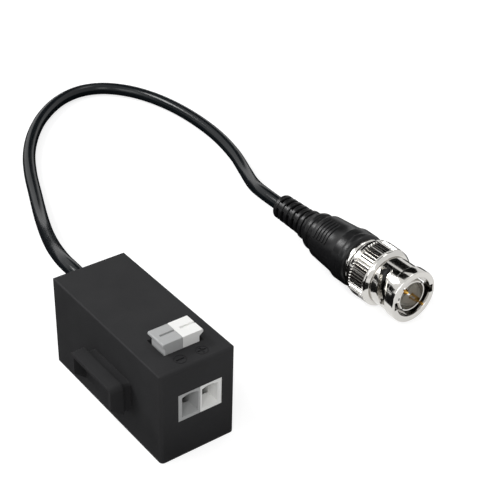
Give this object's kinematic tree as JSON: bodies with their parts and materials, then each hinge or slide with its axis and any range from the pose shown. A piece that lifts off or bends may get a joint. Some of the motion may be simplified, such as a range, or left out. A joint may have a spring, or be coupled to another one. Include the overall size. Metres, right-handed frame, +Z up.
{
  "type": "cctv video balun",
  "caption": "Passive video balun: small box with two-pole push terminals, stacking rail, short coax lead and a BNC plug.",
  "frame": {"origin": "centre of the housing's bottom face, on the surface that the part stands on", "axes": "+Z up, +Y from the terminal face to the cord, +X to the right seen from the terminal face"},
  "size_m": [0.0941, 0.1507, 0.024],
  "materials": {
    "black_abs": "fine matte moulding",
    "grey_plastic": "satin moulding",
    "white_plastic": "satin moulding",
    "tinned_metal": "tinned",
    "spring_steel": "bright strip",
    "board": "solder resist",
    "ferrite": "sintered",
    "copper_wire": "enamelled",
    "component": "dipped",
    "black_pvc": "satin PVC",
    "nickel": "nickel plate",
    "gasket": "silicone",
    "gold": "gold plate"
  },
  "bodies": {
    "root": {"housing_shell": "black_abs", "bottom_cover": "black_abs", "terminal_minus": "grey_plastic", "terminal_plus": "white_plastic", "contact_minus": "tinned_metal", "contact_plus": "tinned_metal", "clamp_spring_minus": "spring_steel", "clamp_spring_plus": "spring_steel", "circuit_board": "board", "ferrite_core": "ferrite", "winding_line": "copper_wire", "winding_coax": "copper_wire", "surge_suppressor": "component", "film_capacitor": "component", "chip_parts": "component", "core_lead": "white_plastic", "shield_lead": "copper_wire", "cord_gland": "black_pvc", "coax_cord": "black_pvc", "plug_overmould": "black_pvc", "back_ring": "nickel", "wave_spring": "spring_steel", "front_gasket": "gasket", "plug_shell": "nickel", "plug_dielectric": "white_plastic", "centre_pin": "gold", "crimp_ferrule": "tinned_metal", "coax_core": "white_plastic"},
    "minus_lever": {"button_minus": "grey_plastic"},
    "plus_lever": {"button_plus": "white_plastic"},
    "nut_washer": {"thrust_washer": "nickel"},
    "nut": {"coupling_nut": "nickel"}
  },
  "joints": [
    {"name": "press_minus", "type": "slide", "parent": "root", "child": "minus_lever", "axis": [0, 0, -1], "range_m": [0, 0.0014], "stiffness_N_per_m": 1500, "springref_m": -0.001, "deforming": ["clamp_spring_minus"]},
    {"name": "press_plus", "type": "slide", "parent": "root", "child": "plus_lever", "axis": [0, 0, -1], "range_m": [0, 0.0014], "stiffness_N_per_m": 1500, "springref_m": -0.001, "deforming": ["clamp_spring_plus"]},
    {"name": "nut_pull", "type": "slide", "parent": "root", "child": "nut_washer", "axis": [0, -1, 0], "range_m": [0, 0.001], "stiffness_N_per_m": 6000, "springref_m": -0.0005, "deforming": ["wave_spring"]},
    {"name": "nut_turn", "type": "hinge", "parent": "nut_washer", "child": "nut", "pos_m": [0.0635, 0, 0.0073], "axis": [0, 1, 0], "continuous": true}
  ]
}
